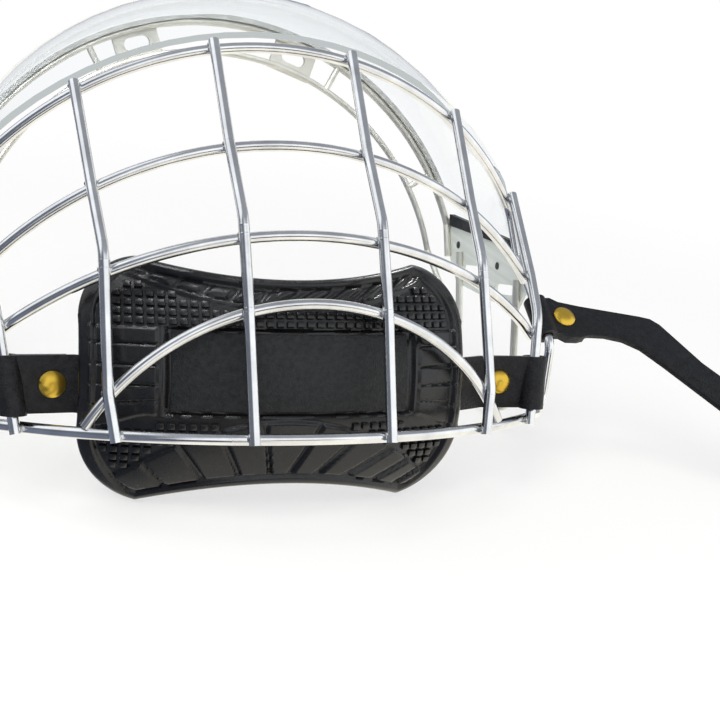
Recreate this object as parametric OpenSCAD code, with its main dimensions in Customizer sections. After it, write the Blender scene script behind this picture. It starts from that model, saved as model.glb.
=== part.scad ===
// Lower-face wire guard with a clear half visor, a moulded chin cup and press-stud straps.
// Modelled in the guard's own frame: X to the wearer's left, Y from the chin to the ears, Z up,
// with the bottom wire level, then leaned back so that it rests as it does on a table.

/* [Wire] */
// Diameter of the cage wire
wire_d = 3.2; // [2.8:0.1:3.6]
// Depth that two crossing wires sink into each other at a spot weld
weld_sink = 0.5; // [0.3:0.1:0.8]
// Diameter of the outer hoop and of the rear loops
hoop_d = 2.6; // [2.2:0.1:3]
// Diameter of the inner hoop and its links
inner_d = 2.2; // [1.8:0.1:2.6]
// Inside bend radius of the uprights
upright_bend = 14; // [8:1:20]
// Bend radius of the side wires' corners
corner_bend = 7.2; // [5:0.1:9]
// Length by which an upright passes the outermost wire it crosses
upright_over = 1.2; // [0.8:0.1:2]
// Reach of the uprights' lower ends below the bottom wire's middle
upright_foot = 1.8; // [1.4:0.1:2.4]
// Rise of the uprights' kink above the lower cross wire
kink_rise = 5; // [3:0.5:8]

/* [Bottom wire] */
// Radius of the bottom wire in front of the chin
chin_r = 128.5; // [110:0.5:150]
// Half width of the chin radius
chin_half = 25; // [15:1:35]
// Radius of the bottom wire under the cheeks
cheek_r = 103.6; // [95:0.2:120]
// Half width at which the cheek radius ends and the wire runs straight
cheek_half = 76; // [72:0.5:78]
// Half width of the bottom wire's corner
corner_half = 90.5; // [89:0.5:92]

/* [Chin arch] */
// Set-back of the arch's crown
arch_y = 8.4; // [7:0.1:12]
// Height of the arch's crown
arch_z = 36.1; // [33:0.1:40]
// Radius of the arch
arch_r = 71.1; // [68:0.1:78]
// Half width at which the arch meets the bottom wire
arch_half = 61.5; // [58:0.5:63]

/* [Lower cross wire] */
// Set-back of its middle
low_y = 14; // [12:0.1:16]
// Height of its middle
low_z = 54.6; // [52:0.1:58]
// Lean of its plane
low_lean = 52.8; // [48:0.1:57]
// Radius
low_r = 110; // [106:0.5:116]

/* [Upper cross wire] */
// Set-back of its middle
up_y = 30.8; // [28:0.1:33]
// Height of its middle
up_z = 79.9; // [76:0.1:83]
// Lean of its plane
up_lean = 64.7; // [62:0.1:67]
// Radius
up_r = 108.7; // [106:0.1:114]

/* [Top cage wire] */
// Set-back of its middle
top_y = 48.4; // [46:0.1:51]
// Height of its middle
top_z = 109.3; // [106:0.1:113]
// Lean of its plane
top_lean = 63.4; // [61:0.1:66]
// Radius
top_r = 106.5; // [104:0.1:110]
// Half width at which it turns down into the side wire
top_half = 86; // [84:0.5:87]

/* [Uprights] */
// Inner uprights' distance from the middle at the bottom wire
inner_low = 19.3; // [16:0.1:24]
// Inner uprights' distance from the middle at the top wire
inner_top = 21; // [16:0.1:26]
// Middle uprights' distance from the middle at the bottom wire
middle_low = 53.3; // [48:0.1:56]
// Middle uprights' distance from the middle at the top wire
middle_top = 58.9; // [52:0.1:62]
// Outer uprights' distance from the middle at the bottom wire
outer_low = 76.6; // [74:0.1:78]
// Outer uprights' distance from the middle at the top wire
outer_top = 87.1; // [86.5:0.1:87.5]

/* [Side plates] */
// Thickness of the side plates
plate_t = 1.2; // [1:0.1:1.6]
// Inner face of the side plates, from the middle
plate_x = 92.9; // [92.5:0.1:93.5]
// Length of the side plates
plate_len = 64; // [60:1:68]
// Height of the front and rear rivet holes' centres
hole_front_z = 46; // [44:0.5:47]
// Height of the rear rivet hole
hole_rear_z = 52.5; // [50:0.5:54]
// Diameter of the rivet holes
rivet_d = 2.6; // [2:0.1:3]
// Width of the long slots
slot_w = 3.6; // [3:0.1:4]
// End-to-end length of the long slots
slot_len = 14; // [11:0.5:15]
// Height of the black edge trim at its rear end
trim_h = 3.4; // [2.6:0.1:4]

/* [Hoops] */
// Plane of the hoops, behind the chin
hoop_y = 124.5; // [122:0.5:126]
// Height of the hoops' common centre
hoop_z = 30; // [28:0.5:32]
// Radius of the outer hoop
hoop_r = 96.6; // [95:0.1:98]
// Radius of the inner hoop
inner_r = 86.6; // [84:0.1:88]

/* [Rear loops] */
// Depth of the loops' lowest run below the bottom wire
loop_drop = 3; // [1:0.5:5]
// Place of the loops' front legs
loop_front = 65; // [63:0.5:68]
// Place of the loops' rear legs at the bottom
loop_rear = 107; // [104:0.5:110]

/* [Visor] */
// Wall of the clear visor
visor_t = 2; // [1.6:0.1:2.5]
// Outward bulge of the visor between its edges
visor_bulge = 9; // [5:0.5:12]

/* [Chin cup] */
// Width of the cup
cup_w = 112; // [104:1:116]
// Height from the lower lobes to the horns
cup_h = 67; // [62:1:70]
// Waist depth at the middle of the top and bottom edges
cup_waist = 5; // [3:0.5:7]
// Corner radius of the outline
cup_corner = 17; // [14:1:20]
// Radius of the lower corners, which are deeper and rounder
cup_low_corner = 22; // [19:1:24]
// Extra depth of the lower lobes
cup_lobe = 1.7; // [1:0.1:2.5]
// Plan radius of the cup's face
cup_r = 120; // [118:1:124]
// Radius of the face from top to bottom
cup_side_r = 50; // [46:1:56]
// Wall of the cup
cup_wall = 3; // [2.5:0.1:3.6]
// Set-back of the cup's face behind the bottom wire's middle
cup_front = 8; // [7.5:0.5:10]
// Height of the cup's middle
cup_z = 13.5; // [12.5:0.5:15]
// Turn of the cup along the strap, to the wearer's right
cup_turn = 3.35; // [2:0.05:4]
// Height of the raised rim
rim_up = 1.4; // [1:0.1:1.6]
// Width of the raised rim
rim_w = 2.6; // [2:0.1:3.4]

/* [Chin strap] */
// Width of the strap
strap_w = 16; // [14:0.5:17]
// Thickness of the strap
strap_t = 1.6; // [1.4:0.1:1.8]
// Height of the strap's middle below the cup's
strap_drop = 2; // [1:0.1:2.4]
// Width of the grained panel in the cup's recess
panel_w = 69; // [66:1:72]
// Height of the grained panel
panel_h = 22; // [20:0.5:23]
// Distance of the press studs from the middle
stud_half = 68.4; // [67.5:0.1:69.5]

/* [Press studs] */
// Diameter of the domed caps
cap_d = 7.4; // [6.5:0.1:8]
// Height of the domed caps
cap_h = 1.6; // [1.2:0.1:2]
// Diameter of the posts
post_d = 2.6; // [2.2:0.1:3]
// Bore of the sockets at the side straps' ends
socket_bore = 3.8; // [3.4:0.1:4.2]

/* [Side straps] */
// Thickness of the side straps
side_t = 1.8; // [1.5:0.1:2]
// Length of the loop along the side wire
side_loop = 14.5; // [13:0.5:15]

/* [Hidden] */
$fn = 40;

// clearances
hair = 0.05;
gap = 0.3;
loop_gap = 0.6;

// vectors
function unit(v) = v / norm(v);
function lin(a, b, t) = a + (b - a) * t;
function sag(r, x) = r - sqrt(r * r - x * x);
function flip(p) = [-p[0], p[1], p[2]];

// bottom wire: chin arc, cheek arcs, straight runs to the corners
chin_a = asin(chin_half / chin_r);
cheek_s = sin(chin_a) + (cheek_half - chin_half) / cheek_r;
cheek_a = asin(cheek_s);
cheek_y = sag(chin_r, chin_half) + cheek_r * (cos(chin_a) - cos(cheek_a));
function cheek_at(x) = sag(chin_r, chin_half)
    + cheek_r * (cos(chin_a) - cos(asin(sin(chin_a) + (x - chin_half) / cheek_r)));
function bottom_y(x) = x < chin_half ? sag(chin_r, x)
    : x < cheek_half ? cheek_at(x)
    : cheek_y + (x - cheek_half) * tan(cheek_a);

// rows 0 to 4: bottom wire, chin arch, lower cross wire, upper cross wire, top cage wire;
// the arch leans so that its feet stand on the bottom wire
arch_lean = atan2(arch_z, bottom_y(arch_half) - arch_y);
rows = [[0, 0, 0, chin_r], [arch_y, arch_z, arch_lean, arch_r], [low_y, low_z, low_lean, low_r],
    [up_y, up_z, up_lean, up_r], [top_y, top_z, top_lean, top_r]];
function row_pt(i, x) = i == 0 ? [x, bottom_y(abs(x)), 0]
    : [x, rows[i][0] + sag(rows[i][3], x) * cos(rows[i][2]),
        rows[i][1] - sag(rows[i][3], x) * sin(rows[i][2])];
function row_dir(i, x) = unit(row_pt(i, x + 0.4) - row_pt(i, x - 0.4));

// uprights: distance from the middle grows with height
function cross_x(lo, hi, i) = lin(lo, hi, [0, 0.3, 0.35, 0.62, 1][i]);
function outer_x(i) = [outer_low, 0, outer_low + 4.1, outer_top - 2.9, outer_top][i];
function upright_axis(k, i) = k == 0 ? cross_x(inner_low, inner_top, i)
    : k == 1 ? cross_x(middle_low, middle_top, i) : outer_x(i);
function bare_pt(k, i) = row_pt(i, upright_axis(k, i));
function list_of(k) = k == 2 ? [0, 2, 3, 4] : [0, 1, 2, 3, 4];
function lay_pt(k, n) = let (l = list_of(k), a = l[max(n - 1, 0)], b = l[min(n + 1, len(l) - 1)],
        c = l[n], v = unit(bare_pt(k, b) - bare_pt(k, a)))
    bare_pt(k, c) + (wire_d - weld_sink) * unit(cross(row_dir(c, upright_axis(k, c)), v));
function upright_path(k) = let (l = list_of(k), p = [for (n = [0:len(l) - 1]) lay_pt(k, n)],
        m = len(l) - 3, dn = unit(p[0] - p[1]), up = unit(p[len(l) - 1] - p[len(l) - 2]))
    concat([p[0] + dn * upright_foot], [for (n = [1:m]) p[n]],
        [p[m] + unit(p[m] - p[m - 1]) * kink_rise, p[m + 1]], [p[m + 2] + up * upright_over]);

// side wires: from the bottom wire's straight run, round the corner, up, back and into the top wire
run_start = [cheek_half, cheek_y, 0];
corner = [corner_half, bottom_y(corner_half), 0];
knee = [corner_half + 1.8, 41.5, 22.5];
hip = [corner_half + 1, 65, 49];
top_end = row_pt(4, top_half);
shoulder = top_end + row_dir(4, top_half) * 7.5;
side_path = [run_start, corner, knee, hip, shoulder, top_end];

// wires through points, with bends of one radius
function turn(a, b, c) = acos(min(1, unit(b - a) * unit(c - b)));
function take(p, i, r) = i <= 0 || i >= len(p) - 1 ? 0 : r * tan(turn(p[i - 1], p[i], p[i + 1]) / 2);

module bar(a, b, d) {
    v = b - a;
    translate(a)
        rotate([0, acos(v[2] / norm(v)), atan2(v[1], v[0])])
            cylinder(d = d, h = norm(v));
}

module elbow(a, b, c, d, r) {
    u = unit(b - a);
    w = unit(c - b);
    n = unit(w - (u * w) * u);
    f = turn(a, b, c);
    s = b - u * r * tan(f / 2);
    o = s + n * r;
    z = cross(-n, u);
    e = hair / r * 180 / PI;
    multmatrix([[-n[0], u[0], z[0], o[0]], [-n[1], u[1], z[1], o[1]], [-n[2], u[2], z[2], o[2]]])
        rotate([0, 0, e])
            rotate_extrude(angle = f - 2 * e, $fn = 96)
                translate([r, 0])
                    circle(d = d, $fn = 24);
}

// every run and bend stops a hair short of the next, inside a bead that joins them
module rod(p, d, r) {
    for (i = [0:len(p) - 2]) {
        u = unit(p[i + 1] - p[i]);
        a = p[i] + u * (take(p, i, r) + (i == 0 ? 0 : hair));
        b = p[i + 1] - u * (take(p, i + 1, r) + (i == len(p) - 2 ? 0 : hair));
        bar(a, b, d);
        if (i > 0)
            bead(a - u * hair, d);
        if (i < len(p) - 2)
            bead(b + u * hair, d);
    }
    for (i = [1:len(p) - 2])
        elbow(p[i - 1], p[i], p[i + 1], d, r);
}

module bead(p, d) {
    translate(p)
        sphere(d = d + 0.06);
}

// a planar bow of wire whose crown stands at the origin and whose ends run towards +Y
module bow(r, half, d) {
    arc_wire(r, -asin(half / r), asin(half / r), d);
}

// part of the same bow, from one angle to another, measured from the crown
module arc_wire(r, from, to, d) {
    translate([0, r, 0])
        rotate([0, 0, -90 + from])
            rotate_extrude(angle = to - from, $fn = 160)
                translate([r, 0])
                    circle(d = d, $fn = 24);
}

module row_wire(i, half, d) {
    translate([0, rows[i][0], rows[i][1]])
        rotate([-rows[i][2], 0, 0])
            bow(rows[i][3], half, d);
}

// rest pose: the cup's lower lobes and the rear loops stand on the table
cup_low_y = cup_front + cup_r - (cup_r - cup_side_r) - sqrt(pow(cup_side_r, 2) - pow(cup_h / 2, 2)) + 9;
cup_low_z = cup_z - cup_h / 2 - cup_lobe - 1.16;
loop_low_z = -loop_drop - hoop_d / 2 - 0.3;
lean = atan((loop_low_z - cup_low_z) / (loop_rear - 8 - cup_low_y));
lift = cup_low_y * sin(lean) - cup_low_z * cos(lean);
seat_y = 76.88;

module seated() {
    translate([0, -seat_y, lift])
        rotate([-lean, 0, 0])
            children();
}

module steel() {
    color([0.8, 0.81, 0.8])
        seated()
            children();
}

module black() {
    color([0.09, 0.09, 0.1])
        seated()
            children();
}

module brass() {
    color([0.85, 0.68, 0.22])
        seated()
            children();
}

// ---- cage ----
module bottom_frame_wire() {
    e = hair / cheek_r * 180 / PI;
    steel() {
        arc_wire(chin_r, -chin_a + e, chin_a - e, wire_d);
        for (s = [0, 1])
            mirror([s, 0, 0]) {
                translate([chin_half, sag(chin_r, chin_half), 0])
                    rotate([0, 90, chin_a])
                        sphere(d = wire_d + 0.06);
                translate([chin_half - cheek_r * sin(chin_a),
                        sag(chin_r, chin_half) - cheek_r * (1 - cos(chin_a)), 0])
                    arc_wire(cheek_r, chin_a + e, cheek_a, wire_d);
            }
    }
}

module frame_side() {
    steel()
        rod(side_path, wire_d, corner_bend);
}

module frame_side_right() {
    frame_side();
}

module frame_side_left() {
    mirror([1, 0, 0])
        frame_side();
}

module top_frame_wire() {
    steel()
        row_wire(4, top_half, wire_d);
}

module chin_arch_wire() {
    steel()
        row_wire(1, arch_half, wire_d);
}

module lower_cross_wire() {
    steel()
        row_wire(2, upright_axis(2, 2) + 1.2, wire_d);
}

module upper_cross_wire() {
    steel()
        row_wire(3, upright_axis(2, 3) + 1.2, wire_d);
}

module upright(k) {
    steel()
        rod(upright_path(k), wire_d, upright_bend);
}

module upright_inner_right() {
    upright(0);
}

module upright_middle_right() {
    upright(1);
}

module upright_outer_right() {
    upright(2);
}

module upright_inner_left() {
    mirror([1, 0, 0])
        upright(0);
}

module upright_middle_left() {
    mirror([1, 0, 0])
        upright(1);
}

module upright_outer_left() {
    mirror([1, 0, 0])
        upright(2);
}

// ---- rear loops, hoops and plates ----
loop_x = plate_x - hoop_d / 2 + 0.2;
plate_front = 62;
plate_rear = plate_front + plate_len;
function plate_top(y) = 52.5 + (y - plate_front) * 0.175;

module rear_loop() {
    steel()
        rod([[loop_x, loop_front + 1, 42], [loop_x, loop_front, -loop_drop],
            [loop_x, loop_rear, -loop_drop], [loop_x, loop_rear + 5, 50]], hoop_d, 9);
}

module rear_loop_right() {
    rear_loop();
}

module rear_loop_left() {
    mirror([1, 0, 0])
        rear_loop();
}

foot_x = plate_x - hoop_d / 2 + 0.2;
foot_z = hoop_z + sqrt(pow(hoop_r, 2) - pow(foot_x, 2));
inner_foot = [sqrt(pow(inner_r, 2) - 400), hoop_y + (hoop_d - inner_d) / 2, hoop_z + 20];

module hoop(r, y, z_end, d) {
    a = asin((z_end - hoop_z) / r) + hair / r * 180 / PI;
    translate([0, y, hoop_z])
        rotate([90, 0, 0])
            rotate([0, 0, a])
                rotate_extrude(angle = 180 - 2 * a, $fn = 160)
                    translate([r, 0])
                        circle(d = d, $fn = 24);
}

module outer_hoop_wire() {
    steel() {
        hoop(hoop_r, hoop_y, foot_z, hoop_d);
        for (s = [-1, 1]) {
            bead([s * foot_x, hoop_y, foot_z], hoop_d);
            bar([s * foot_x, hoop_y, foot_z - hair], [s * foot_x, hoop_y - 2.5, foot_z - 12], hoop_d);
        }
    }
}

module inner_hoop_wire() {
    steel() {
        hoop(inner_r, inner_foot[1], inner_foot[2], inner_d);
        for (s = [-1, 1]) {
            p = s > 0 ? inner_foot : flip(inner_foot);
            q = [s * (loop_x - 1.2), loop_rear + 4.3, 24];
            bead(p, inner_d);
            bar(p + unit(q - p) * hair, q, inner_d);
            bead(q, inner_d);
        }
    }
}

module hoop_links() {
    steel()
        for (a = [30, 62, 118, 150])
            translate([0, inner_foot[1], hoop_z])
                rotate([0, 90 - a, 0])
                    translate([0, 0, inner_r + inner_d / 2 - 0.5])
                        cylinder(d = inner_d, h = hoop_r - inner_r - hoop_d / 2 - inner_d / 2 + 1);
}

lug_a = 72;
lug_r = (inner_r + hoop_r) / 2;
lug_w = 16;
lug_slot_w = 4.6;
lug_slot_len = 9;

module brow_lug() {
    steel()
        translate([0, hoop_y + hoop_d / 2 - 0.2, hoop_z])
            rotate([0, 90 - lug_a, 0])
                rotate([-90, 0, 0])
                    difference() {
                        translate([-lug_w / 2, -hoop_r - 0.8, 0])
                            cube([lug_w, hoop_r - inner_r + 2, 1.5]);
                        for (s = [-1, 1])
                            translate([s * (lug_slot_len - lug_slot_w) / 2, -lug_r, -1])
                                cylinder(d = lug_slot_w, h = 4);
                        translate([-(lug_slot_len - lug_slot_w) / 2, -lug_r - lug_slot_w / 2, -1])
                            cube([lug_slot_len - lug_slot_w, lug_slot_w, 4]);
                    }
}

module brow_lug_right() {
    brow_lug();
}

module brow_lug_left() {
    mirror([1, 0, 0])
        brow_lug();
}

hole_front_y = plate_front + 21;
hole_rear_y = plate_rear - 10.5;
slot_front_y = plate_front + 15;
slot_rear_y = plate_rear - 22;

module plate_slot(y, z) {
    for (s = [-1, 1])
        translate([y + s * (slot_len - slot_w) / 2, z, -1])
            cylinder(d = slot_w, h = plate_t + 2);
    translate([y - (slot_len - slot_w) / 2, z - slot_w / 2, -1])
        cube([slot_len - slot_w, slot_w, plate_t + 2]);
}

// drawn flat with Y to the right and Z up, then stood in the YZ plane
module on_side(x) {
    translate([x, 0, 0])
        rotate([90, 0, 90])
            children();
}

module side_plate() {
    steel()
        on_side(plate_x)
            difference() {
                union() {
                    linear_extrude(plate_t)
                        polygon([[plate_front, 38], [plate_front, plate_top(plate_front)],
                            [plate_rear - 3, plate_top(plate_rear - 3)],
                            [plate_rear, plate_top(plate_rear) - 3.5], [plate_rear - 4, 47],
                            [plate_rear - 10, 38.5], [plate_front + 15, 32], [plate_front + 5, 32]]);
                    translate([plate_rear - 3.1, plate_top(plate_rear) - 3.6, 0])
                        cylinder(r = 3.1, h = plate_t);
                }
                translate([hole_front_y, hole_front_z, -1])
                    cylinder(d = rivet_d + 0.1, h = plate_t + 2);
                translate([hole_rear_y, hole_rear_z, -1])
                    cylinder(d = rivet_d + 0.1, h = plate_t + 2);
                plate_slot(slot_front_y, 38);
                plate_slot(slot_rear_y, 43.5);
            }
}

module side_plate_right() {
    side_plate();
}

module side_plate_left() {
    mirror([1, 0, 0])
        side_plate();
}

module plate_trim() {
    y0 = plate_front + 10;
    y1 = hoop_y - hoop_d / 2 - 0.6;
    black() {
        on_side(plate_x - 0.9)
            linear_extrude(0.9)
                polygon([[y0, plate_top(y0) - trim_h * 0.5], [y1, plate_top(y1) - trim_h],
                    [y1, plate_top(y1) + 0.8], [y0, plate_top(y0) + 0.8]]);
        on_side(plate_x - 0.1)
            linear_extrude(plate_t + 0.1)
                polygon([[y0, plate_top(y0)], [y1, plate_top(y1)],
                    [y1, plate_top(y1) + 0.8], [y0, plate_top(y0) + 0.8]]);
    }
}

module plate_trim_right() {
    plate_trim();
}

module plate_trim_left() {
    mirror([1, 0, 0])
        plate_trim();
}

// ---- visor: a shell drawn between the top cage wire and the outer hoop ----
// the shell's outer skin is drawn first, its inside lies one wall further in
seat_gap = 0.1;
visor_in = plate_x + plate_t + seat_gap;
visor_x = visor_in + visor_t;
visor_r = sqrt(pow(visor_in, 2) + pow(plate_top(hoop_y) - hoop_z, 2)) + visor_t;
visor_a = asin(visor_x / visor_r) - 5;
visor_n = 12;
visor_m = 6;
// i runs from -visor_n to visor_n over the face, and two steps further down each side tab
function rear_pt(i) = abs(i) <= visor_n
    ? [visor_r * sin(visor_a * i / visor_n), hoop_y + 3, hoop_z + visor_r * cos(visor_a * i / visor_n)]
    : [sign(i) * visor_x, hoop_y + 3 - 4 * (abs(i) - visor_n),
        abs(i) == visor_n + 1 ? plate_top(hoop_y) + 2.5 : hole_rear_z - 5];
front_a = asin(top_half / top_r);
function top_lift(x) = row_pt(4, x) + [0, 0.55, 0.83] * (wire_d + upright_over + 0.6);
function front_pt(i) = abs(i) <= visor_n
    ? top_lift(top_r * sin(front_a * i / visor_n)) + [sin(front_a * i / visor_n), 0, 0.4] * visor_t
    : [sign(i) * visor_x, plate_front + 12 + 3 * (abs(i) - visor_n - 1),
        abs(i) == visor_n + 1 ? plate_top(plate_front + 12) + 2.5 : hole_front_z - 5];
function visor_pt(i, j) = let (t = j / visor_m, f = abs(i) > visor_n ? 0 : cos(80 * i / visor_n))
    lin(front_pt(i), rear_pt(i), t)
        + visor_bulge * f * 4 * t * (1 - t) * unit([sin(80 * i / visor_n), -0.35, cos(80 * i / visor_n)]);
visor_e = visor_n + 2;
function visor_nrm(i, j) = unit(cross(
    visor_pt(min(i + 1, visor_e), j) - visor_pt(max(i - 1, -visor_e), j),
    visor_pt(i, min(j + 1, visor_m)) - visor_pt(i, max(j - 1, 0))));

module visor_shell() {
    w = visor_m + 1;
    c = 2 * visor_e + 1;
    skin = [for (i = [-visor_e:visor_e], j = [0:visor_m]) visor_pt(i, j)];
    back = [for (i = [-visor_e:visor_e], j = [0:visor_m]) visor_pt(i, j) - visor_t * visor_nrm(i, j)];
    o = w * c;
    polyhedron(concat(skin, back), concat(
        [for (i = [0:c - 2], j = [0:w - 2]) each [
            [i * w + j, i * w + j + 1, (i + 1) * w + j],
            [i * w + j + 1, (i + 1) * w + j + 1, (i + 1) * w + j]]],
        [for (i = [0:c - 2], j = [0:w - 2]) each [
            [o + i * w + j, o + (i + 1) * w + j, o + i * w + j + 1],
            [o + i * w + j + 1, o + (i + 1) * w + j, o + (i + 1) * w + j + 1]]],
        [for (i = [0:c - 2], j = [0, w - 1]) each j == 0
            ? [[i * w, (i + 1) * w, o + i * w], [(i + 1) * w, o + (i + 1) * w, o + i * w]]
            : [[i * w + j, o + i * w + j, (i + 1) * w + j],
                [(i + 1) * w + j, o + i * w + j, o + (i + 1) * w + j]]],
        [for (j = [0:w - 2], i = [0, c - 1]) each i == 0
            ? [[j, o + j, j + 1], [j + 1, o + j, o + j + 1]]
            : [[i * w + j, i * w + j + 1, o + i * w + j],
                [i * w + j + 1, o + i * w + j + 1, o + i * w + j]]]));
}

module visor() {
    color([0.85, 0.9, 0.93, 0.3])
        seated()
            difference() {
                visor_shell();
                for (s = [-1, 1], q = [[hole_front_y, hole_front_z], [hole_rear_y, hole_rear_z]])
                    translate([s * (visor_in - 1), q[0], q[1]])
                        rotate([0, s * 90, 0])
                            cylinder(d = rivet_d + 0.2, h = 6);
            }
}

module visor_edge_trim() {
    a = visor_a;
    inside = (visor_r - visor_t) * cos(visor_a / visor_n / 2) - gap;
    black()
        translate([0, hoop_y - 2, hoop_z])
            rotate([90, 0, 180])
                rotate([0, 0, 90 - a])
                    rotate_extrude(angle = 2 * a, $fn = 160)
                        translate([hoop_r + hoop_d / 2 - 0.1, 0])
                            square([inside - hoop_r - hoop_d / 2 + 0.1, 4]);
}

module rivets_at(s) {
    for (q = [[hole_front_y, hole_front_z], [hole_rear_y, hole_rear_z]])
        translate([s * plate_x, q[0], q[1]])
            rotate([0, s * 90, 0])
                children();
}

module visor_rivets() {
    steel()
        for (s = [-1, 1])
            rivets_at(s) {
                translate([0, 0, -0.2])
                    cylinder(d = rivet_d, h = plate_t + visor_t + 1.2);
                translate([0, 0, plate_t + visor_t + 2 * seat_gap + 0.6])
                    intersection() {
                        cylinder(d = 5.6, h = 2);
                        translate([0, 0, -2.6])
                            sphere(r = 3.9);
                    }
            }
}

module rivet_washers() {
    steel()
        for (s = [-1, 1])
            rivets_at(s)
                translate([0, 0, plate_t + visor_t + 2 * seat_gap])
                    difference() {
                        cylinder(d = 7, h = 0.6);
                        translate([0, 0, -1])
                            cylinder(d = rivet_d + 0.1, h = 3);
                    }
}

// ---- chin cup ----
cup_c = [0, cup_front + cup_r, cup_z];
cup_mid = cup_r - cup_side_r;
strap_out = cup_mid + sqrt(pow(cup_side_r - cup_wall, 2) - pow(strap_w / 2 + strap_drop + 0.4, 2)) - gap;
strap_mid = strap_out - strap_t / 2;

module cup_ring(r) {
    rotate_extrude($fn = 160)
        translate([cup_mid, 0])
            circle(r = r, $fn = 96);
}

// radius of the arc that draws in an edge by a depth over the cup's width
function waist_r(depth) = (pow(cup_w * 0.36, 2) + pow(depth, 2)) / (2 * depth);

module cup_outline(inset) {
    e = cup_w / 2 - inset;
    t = cup_h / 2 - inset;
    b = cup_h / 2 + cup_lobe - inset;
    r = cup_corner - inset;
    q = cup_low_corner - inset;
    difference() {
        union() {
            translate([-e, q - b])
                square([2 * e, t - r + b - q]);
            translate([r - e, 0])
                square([2 * (e - r), t]);
            translate([q - e, -b])
                square([2 * (e - q), b]);
            for (x = [-1, 1]) {
                translate([x * (e - r), t - r])
                    circle(r = r);
                translate([x * (e - q), q - b])
                    circle(r = q);
            }
        }
        translate([0, t - cup_waist + waist_r(cup_waist)])
            circle(r = waist_r(cup_waist), $fn = 200);
        translate([0, cup_waist + cup_lobe - b - waist_r(cup_waist + cup_lobe)])
            circle(r = waist_r(cup_waist + cup_lobe), $fn = 200);
    }
}

module cup_prism(inset) {
    translate([0, -cup_mid - 4, 0])
        rotate([90, 0, 0])
            linear_extrude(cup_side_r + 8)
                cup_outline(inset);
}

module arc_band(r0, r1, z0, z1) {
    translate([0, 0, z0])
        difference() {
            cylinder(r = r1, h = z1 - z0, $fn = 160);
            translate([0, 0, -1])
                cylinder(r = r0, h = z1 - z0 + 2, $fn = 160);
        }
}

module front_box(x, w, z0, z1) {
    translate([x - w / 2, -cup_r - 10, z0])
        cube([w, cup_r, z1 - z0]);
}

panel_z = 3.3;
panel_x = 1.9;
panel_out = cup_mid + sqrt(pow(cup_side_r, 2) - pow(panel_h / 2, 2));

module cup_at_rest() {
    translate(cup_c)
        rotate([0, 0, -cup_turn])
            children();
}

module chin_cup() {
    black()
        cup_at_rest() {
            difference() {
                intersection() {
                    difference() {
                        cup_ring(cup_side_r);
                        cup_ring(cup_side_r - cup_wall);
                    }
                    cup_prism(0);
                }
                // recess for the grained panel
                intersection() {
                    arc_band(panel_out - 1.5, cup_r + 1, panel_z - panel_h / 2 - gap,
                        panel_z + panel_h / 2 + gap);
                    front_box(panel_x, panel_w + 2 * gap, -30, 30);
                }
                // flank grooves
                for (s = [-1, 1], n = [-2:2])
                    intersection() {
                        arc_band(cup_r - 1.2, cup_r + 1, n * 5.4 - 0.4, n * 5.4 + 0.4);
                        front_box(s * (cup_w / 2 - 11), 13, -30, 30);
                    }
            }
            tread();
            // raised rim
            intersection() {
                difference() {
                    cup_ring(cup_side_r + rim_up);
                    cup_ring(cup_side_r - 0.5);
                }
                difference() {
                    cup_prism(0);
                    translate([0, 1, 0])
                        cup_prism(rim_w);
                }
            }
            // keepers that hold the strap behind the cup
            for (s = [-1, 1])
                intersection() {
                    difference() {
                        arc_band(strap_out - strap_t - gap - 1.8, cup_r - cup_wall + 0.3, -12.5, 9.5);
                        arc_band(strap_out - strap_t - gap, strap_out + gap,
                            -strap_w / 2 - strap_drop - gap, strap_w / 2 - strap_drop + gap);
                    }
                    front_box(s * 22, 6, -12.5, 9.5);
                }
        }
}

// tread bars below and above the panel, which lean towards the middle
tread_in = [-40, -32, -21.2, -8.5, 8.5, 21.2, 32, 40];
tread_out = [-31.2, -20.8, -11.2, -2.2, 2.2, 11.2, 20.8, 31.2];
tread_gap = 0.7;

function low_in(x) = -panel_h / 2 - 1.5 - 0.0075 * x * x;
function low_out(x) = 4.4 - cup_h / 2 - cup_lobe - 0.4 + (cup_waist + cup_lobe) * (1 - pow(x / 40, 2));
function high_in(x) = panel_z + panel_h / 2 + 6.6 + 0.0047 * x * x;
function high_out(x) = cup_h / 2 - 3.6 - cup_waist * (1 - pow(x / 40, 2));

module tread_bar(n, z_in, z_out) {
    a = tread_in[n] + tread_gap;
    b = tread_in[n + 1] - tread_gap;
    c = tread_out[n + 1] - tread_gap;
    d = tread_out[n] + tread_gap;
    polygon([[a, z_in[0]], [b, z_in[1]], [c, z_out[1]], [d, z_out[0]]]);
}

module tread() {
    intersection() {
        difference() {
            cup_ring(cup_side_r + 0.9);
            cup_ring(cup_side_r - 0.6);
        }
        translate([0, -cup_mid - 4, 0])
            rotate([90, 0, 0])
                linear_extrude(cup_side_r + 8)
                    for (n = [0:len(tread_in) - 2]) {
                        tread_bar(n, [low_in(tread_in[n]), low_in(tread_in[n + 1])],
                            [low_out(tread_out[n]), low_out(tread_out[n + 1])]);
                        tread_bar(n, [high_in(tread_in[n]), high_in(tread_in[n + 1])],
                            [high_out(tread_out[n]), high_out(tread_out[n + 1])]);
                    }
    }
}

module cup_panel() {
    black()
        cup_at_rest()
            intersection() {
                arc_band(panel_out - 1.5, panel_out - 0.3, panel_z - panel_h / 2, panel_z + panel_h / 2);
                front_box(panel_x, panel_w, -30, 30);
            }
}

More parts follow.
